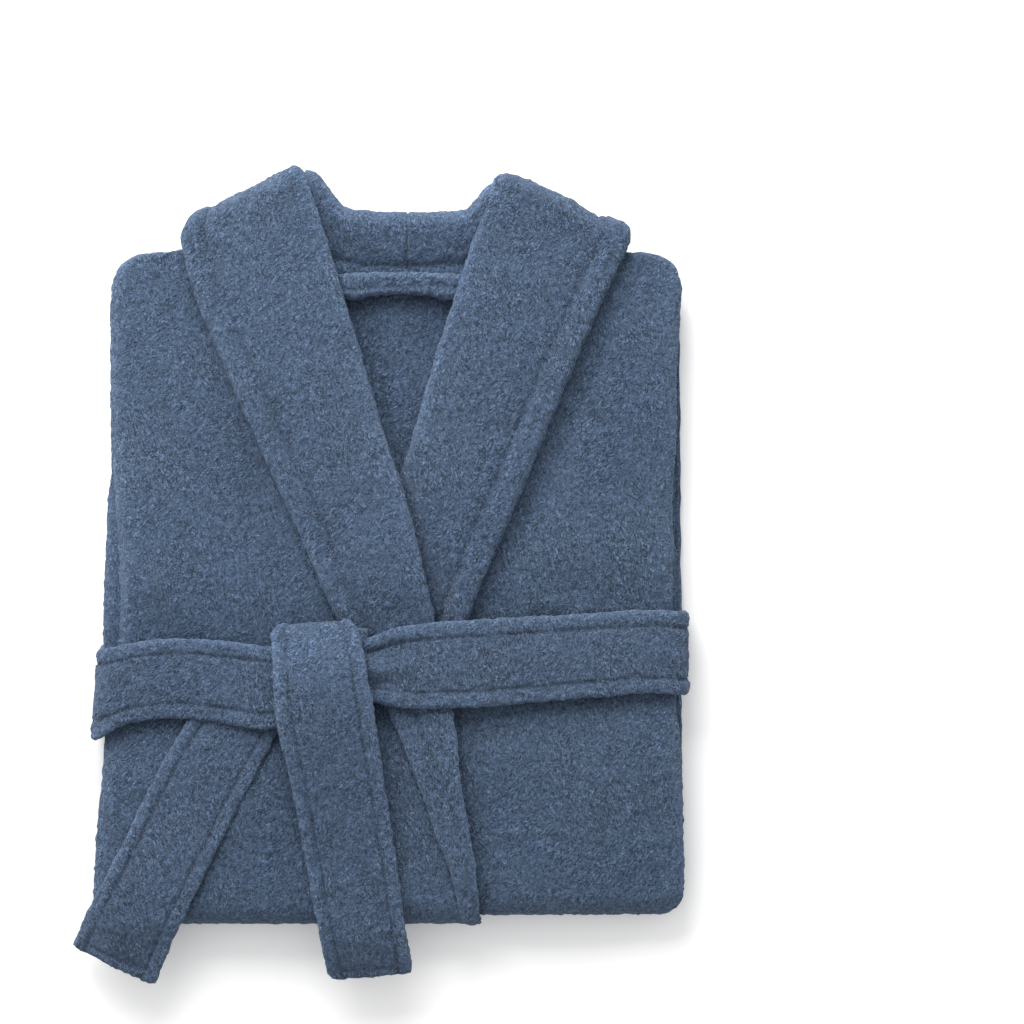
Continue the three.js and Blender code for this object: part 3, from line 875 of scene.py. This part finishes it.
def strap(name, middle, across, width, thick, hem, ends=(0, 0), extra=None):
    """A stitched double strip: round edges, and a line of stitching along each side, darkened with painted
    shade, with a painted highlight along both edges.
    """
    edge = np.minimum(across, width - across)[:, None] + 0 * middle[..., 0]
    along = walk(middle[len(across) // 2])
    seam = ridge(edge, hem, 1.25)
    to_end = along[-1] - along
    if ends[1]:
        seam = np.maximum(seam, ridge(to_end, ends[1], 1.25)[None, :] * ease((edge - hem + 2) / 2))
    half = thick * (0.92 + 0.24 * ridge(edge, 5, 4.5)) - 1.15 * seam
    if extra is not None:
        half = half + extra
    finish_at = np.minimum(along, to_end)[None, :]
    half = half * rounded(edge, 3.0) * rounded(finish_at, 3.0)
    # Painted highlight along the edges; ends[0] adds a painted highlight near the strip's start.
    rim = np.exp(-edge / 5) + (ends[0] * np.exp(-(((along - 20) / 20) ** 2)))[None, :]
    return slab(name, middle, half, seam=0.75 * np.clip(seam, 0, 1), rim=rim)


def belt_wrap():
    """From the knot to the left, round the side, under the robe and back to the knot from the right."""
    sizes = bpy.context.scene.robe_sizes
    thick, hem = sizes.belt / MM / 2, sizes.belt_hem / MM
    left, right = BELT_OUT_X[0] + thick + 1.5, BELT_OUT_X[1] - thick
    top_left, top_right = belt_top_z(left + 8), belt_top_z(right - 8)
    turn = np.linspace(0, np.pi / 2, 7)
    r, low_r = BELT_TURN, FLOOR_TURN
    floor = thick + FLOOR_CLEAR
    first = np.arange(-52, left + r, -2.2)
    down = np.linspace(top_left - r - 2.5, floor + low_r + 2.5, 8)
    flat = np.arange(left + 10, right - 8, 4.0)
    up = np.linspace(floor + 8.5, top_right - r - 2.5, 8)
    last = np.arange(right - r - 2.2, -30, -2.2)
    path = [
        (first, belt_top_z(first)),
        (left + r - r * np.sin(turn), top_left - r + r * np.cos(turn)),
        (left + 0 * down, down),
        (left + low_r - low_r * np.cos(turn), floor + low_r - low_r * np.sin(turn)),
        (flat, floor + 0 * flat),
        (right - low_r + low_r * np.sin(turn), floor + low_r - low_r * np.cos(turn)),
        (right + 0 * up, up),
        (right - r + r * np.cos(turn), top_right - r + r * np.sin(turn)),
        (last, belt_top_z(last)),
    ]
    x, z = (np.concatenate(values) for values in zip(*path))
    front = z > 25
    y = np.where(front, belt_y(x), -80 + 24 * (x + 206) / 420)
    y = np.convolve(np.pad(y, 3, mode="edge"), np.ones(7) / 7, mode="valid")
    half_width = profile(x, BELT_HALF_WIDTH)
    half_width = np.where(front, half_width, 29)
    width = BELT_WIDTH
    across = stations(width, 2.9, 1.9, fine=15, fine_step=1.15)
    a = (across / width)[:, None]
    yy = y[None, :] + (a - 0.5) * 2 * half_width[None, :]
    xx = x[None, :] + 0 * a
    zz = z[None, :] + 0 * a
    side_flare = np.exp(-((x - left) / 14) ** 2)[None, :] * ease((0.45 - a) / 0.45)
    yy = yy - 6.5 * side_flare
    xx = xx + 4.5 * a * np.exp(-((x - left) / 14) ** 2)[None, :]
    on_top = front[None, :] & (np.abs(xx - 4) < 212)
    dome = 1.6 * np.sin(np.pi * a) * on_top
    pucker = ridge(xx, -4, 24) * on_top
    lobes = ridge(a, 0.1, 0.11) + 1.2 * ridge(a, 0.5, 0.16) + ridge(a, 0.9, 0.11) - 0.55
    zz = zz + dome + pucker * 4.2 * lobes + 0.7 * np.sin(xx / 17) * on_top
    middle = np.stack([xx, yy, zz], axis=-1)
    return strap("belt_wrap", middle, across, width, thick, hem)


def knot():
    """The wrapped middle of the knot: a fat band of cloth that the front tail comes over."""
    x0, x1 = cad("belt_knot", 0, "X") + 9, cad("belt_knot", 1, "X") - 1
    y0, y1 = cad("belt_knot", 0, "Y") - 1, cad("belt_knot", 1, "Y") - 1
    across, along = stations(x1 - x0, 5, 1.8), stations(y1 - y0, 5, 1.8)
    x = x0 + across[:, None] + 0 * along[None, :]
    y = y0 + along[None, :] + 0 * across[:, None]
    y = y + 3.0 * np.sin((x - x0) / 26)
    z = 49.6 + 0.9 * np.sin(y / 6.5 + x / 30) + 0.5 * np.sin(y / 3.7 + 1)
    edge = np.minimum(across, across[-1] - across)[:, None]
    ends = np.minimum(along, along[-1] - along)[None, :]
    half = 5.2 * rounded(edge, 8) * rounded(ends, 8)
    # Painted highlight round its edges.
    rim = 0.4 * np.exp(-np.minimum(edge, ends) / 6)
    return slab("belt_knot_wrap", np.stack([x, y, z], axis=-1), half, rim=rim)


def tail(name, left, right, heights, length, droop, corners, painted_top_highlight=0.0):
    """A free end of the belt. heights gives its middle's height by share of the way along; the last
    argument sets a painted highlight near its start.
    """
    sizes = bpy.context.scene.robe_sizes
    thick, hem = sizes.belt / MM / 2, 9.6
    width = BELT_WIDTH
    across = stations(width, 2.9, 1.9, fine=13, fine_step=1.15)
    columns = np.linspace(0, 1, int(length / 1.9))
    plan = strip(left, right, across / width, columns)
    a = (across / width)[:, None]
    t = columns[None, :]
    z = profile(columns, heights)[None, :] + 1.3 * np.sin(np.pi * a) + 0.8 * np.sin(t * 9 + a * 2)
    z = z + droop(plan[..., 0], plan[..., 1])
    inset = corner(columns * length, corners[0]) + corner((1 - columns) * length, corners[1])
    middle = np.concatenate([squeeze(plan, inset, inset), z[..., None]], axis=-1)
    return strap(name, middle, across, width, thick, hem, ends=(painted_top_highlight, 9.0))


def tail_front():
    """The tail that comes over the knot and hangs down the front."""
    left = [(-75, -36), (-77.5, -40.5), (-77, -45.5), (-74.5, -80), (-72, -105), (-66, -133), (-59, -170),
            (-52, -210), (-45, -248), (-37.5, -286)]
    right = [(-17.5, -32), (-17, -36), (-15.5, -40.5), (-8.5, -76), (-4, -101), (0, -130), (5, -166),
             (10.5, -203), (15.5, -242), (21, -281.5)]
    top = KNOT_TOP_Z + 0.5
    heights = [(0, top - 16), (0.018, top - 11), (0.05, top - 7.6), (0.1, top - 4), (0.18, top - 0.8),
               (0.25, top), (0.34, top - 2.4), (0.45, top - 7), (0.58, top - 12.5), (0.75, top - 17),
               (0.88, top - 19), (1, top - 24)]

    def droop(x, y):
        return -7 * ease((-244 - y) / 44) ** 2

    # The tail's top, where it curls over the knot, gets a painted highlight.
    return tail("belt_tail_over_knot", left, right, heights, 254, droop, (8, 6), painted_top_highlight=0.7)


def tail_left():
    """The tail that comes out under the belt and lies to the left."""
    left = [(-118, -72), (-128, -90), (-138, -106), (-151, -127), (-164, -152), (-176, -177),
            (-188, -201), (-200, -224), (-210, -243), (-220.5, -263)]
    right = [(-62, -86), (-68, -100), (-76, -117), (-86, -136), (-98, -158), (-111, -184),
             (-124, -210), (-137, -237), (-149, -262), (-160.5, -290.5)]
    heights = [(0, 40.5), (0.15, 40.8), (0.3, 43), (0.5, 42.5), (0.7, 42), (0.85, 41), (1, 37)]

    def droop(x, y):
        side = ease((-190 - x) / 30)
        below = ease((-240 - y) / 40)
        return -12 * side - 6 * below

    return tail("belt_tail_under_run", left, right, heights, 206, droop, (2, 5))


# ---- operators, one for each piece or group of like pieces ----


class MESH_OT_robe_body(bpy.types.Operator):
    """Adds the back and the two fronts, each with its skirt turned under"""

    bl_idname = "mesh.robe_body"
    bl_label = "Back and fronts"

    def execute(self, context):
        finish(panel_back(), "inner", "robe", ["back_panel"])
        finish(panel_right(), "outer", "robe", ["front_panel_right"])
        finish(panel_left(), "outer", "robe", ["front_panel_left"])
        return {"FINISHED"}


class MESH_OT_robe_sleeves(bpy.types.Operator):
    """Adds both sleeves and their cuffs, folded behind the back"""

    bl_idname = "mesh.robe_sleeves"
    bl_label = "Sleeves and cuffs"

    def execute(self, context):
        for side in ("left", "right"):
            finish(sleeve(side), "inner", "robe", [f"sleeve_{side}"])
            finish(cuff(side), "collar", "robe", [f"cuff_{side}"])
        return {"FINISHED"}


class MESH_OT_robe_collar(bpy.types.Operator):
    """Adds the shawl collar: both lapels, the part behind the neck, and the hanging loop"""

    bl_idname = "mesh.robe_collar"
    bl_label = "Collar and loop"

    def execute(self, context):
        right = finish(collar_right(), "collar", None, ["collar_right_lapel", "collar_right_lower"])
        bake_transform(right)
        left = finish(collar_left(), "collar", None, ["collar_left_lapel", "collar_left_lower"])
        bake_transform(left)
        for side, band in neck_bands():
            length = 0.092 if side == "left" else 0.077
            finish(band, "collar", "robe", [f"neck_band_{side}"])
        loop = finish(loop_piece(), "belt", None, ["hanging_loop"])
        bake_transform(loop)
        return {"FINISHED"}


class MESH_OT_robe_belt(bpy.types.Operator):
    """Adds the belt: the wrap, the knot and both tails"""

    bl_idname = "mesh.robe_belt"
    bl_label = "Belt"

    def execute(self, context):
        finish(belt_wrap(), "belt", "robe", ["belt_back_run", "belt_run_left", "belt_run_right"])
        finish(knot(), "belt", "robe", ["belt_knot"])
        under = finish(tail_left(), "belt", None, ["belt_tail_left"])
        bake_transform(under)
        over = finish(tail_front(), "belt", None, ["belt_tail_front"])
        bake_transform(over)
        return {"FINISHED"}


class SCENE_OT_robe_stage(bpy.types.Operator):
    """Adds the pale table top, soft studio light and the camera"""

    bl_idname = "scene.robe_stage"
    bl_label = "Stage, light and camera"

    def execute(self, context):
        scene = context.scene
        bm = bmesh.new()
        bmesh.ops.create_grid(bm, x_segments=1, y_segments=1, size=TABLE_HALF)
        mesh = bpy.data.meshes.new("table_top")
        bm.to_mesh(mesh)
        bm.free()
        table = bpy.data.objects.new("table_top", mesh)
        scene.collection.objects.link(table)
        white = bpy.data.materials.new("table_white")
        n = Nodes(white)
        shader = n.node("ShaderNodeBsdfPrincipled", None,
                        {"Base Color": grey(TABLE_WHITE), "Roughness": 0.9, "Specular IOR Level": 0.0,
                         "Emission Color": grey(1), "Emission Strength": TABLE_GLOW})
        n.node("ShaderNodeOutputMaterial", None, {"Surface": shader})
        mesh.materials.append(white)

        world = bpy.data.worlds.new("studio")
        world.use_nodes = True
        sky = Nodes(world)
        towards = sky.node(
            "ShaderNodeVectorMath", {"operation": "DOT_PRODUCT"},
            {0: sky.node("ShaderNodeTexCoord", out="Generated"), 1: SKY_FROM}, "Value")
        background = sky.node("ShaderNodeBackground", None, {"Strength": towards * SKY_SLOPE + SKY_BASE})
        sky.node("ShaderNodeOutputWorld", None, {"Surface": background})
        scene.world = world
        light = bpy.data.lights.new("key", "AREA")
        light.energy = LIGHT_POWER
        light.size = LIGHT_SIZE
        lamp = bpy.data.objects.new("key", light)
        lamp.location = LIGHT_PLACE
        lamp.rotation_euler = (-Vector(LIGHT_PLACE)).to_track_quat("-Z", "Y").to_euler()
        scene.collection.objects.link(lamp)

        camera = bpy.data.cameras.new("camera")
        camera.lens = LENS
        camera.sensor_width = SENSOR
        eye = bpy.data.objects.new("camera", camera)
        eye.location = (*VIEW_CENTRE, VIEW_HEIGHT + VIEW_WIDTH * camera.lens / camera.sensor_width)
        scene.collection.objects.link(eye)
        scene.camera = eye
        scene.view_settings.view_transform = "Standard"
        return {"FINISHED"}


class VIEW3D_PT_robe(bpy.types.Panel):
    """Lists the robe's pieces"""

    bl_label = "Folded bathrobe"
    bl_space_type = "VIEW_3D"
    bl_region_type = "UI"
    bl_category = "Bathrobe"

    def draw(self, context):
        layout = self.layout
        for group in (context.scene.robe_sizes, context.scene.robe_colours):
            for key in group.__annotations__:
                layout.prop(group, key)
        for operator in STEPS:
            layout.operator(operator.bl_idname)


STEPS = (SCENE_OT_robe_stage, MESH_OT_robe_body, MESH_OT_robe_sleeves, MESH_OT_robe_collar,
         MESH_OT_robe_belt)
CLASSES = (RobeSizes, RobeColours, *STEPS, VIEW3D_PT_robe)


def register():
    for item in CLASSES:
        bpy.utils.register_class(item)
    bpy.types.Scene.robe_sizes = PointerProperty(type=RobeSizes)
    bpy.types.Scene.robe_colours = PointerProperty(type=RobeColours)


def unregister():
    del bpy.types.Scene.robe_sizes
    del bpy.types.Scene.robe_colours
    for item in reversed(CLASSES):
        bpy.utils.unregister_class(item)


def main():
    register()
    bpy.ops.scene.robe_stage()
    bpy.ops.mesh.robe_body()
    bpy.ops.mesh.robe_sleeves()
    bpy.ops.mesh.robe_collar()
    bpy.ops.mesh.robe_belt()
    bpy.context.view_layer.update()


if __name__ == "__main__":
    main()
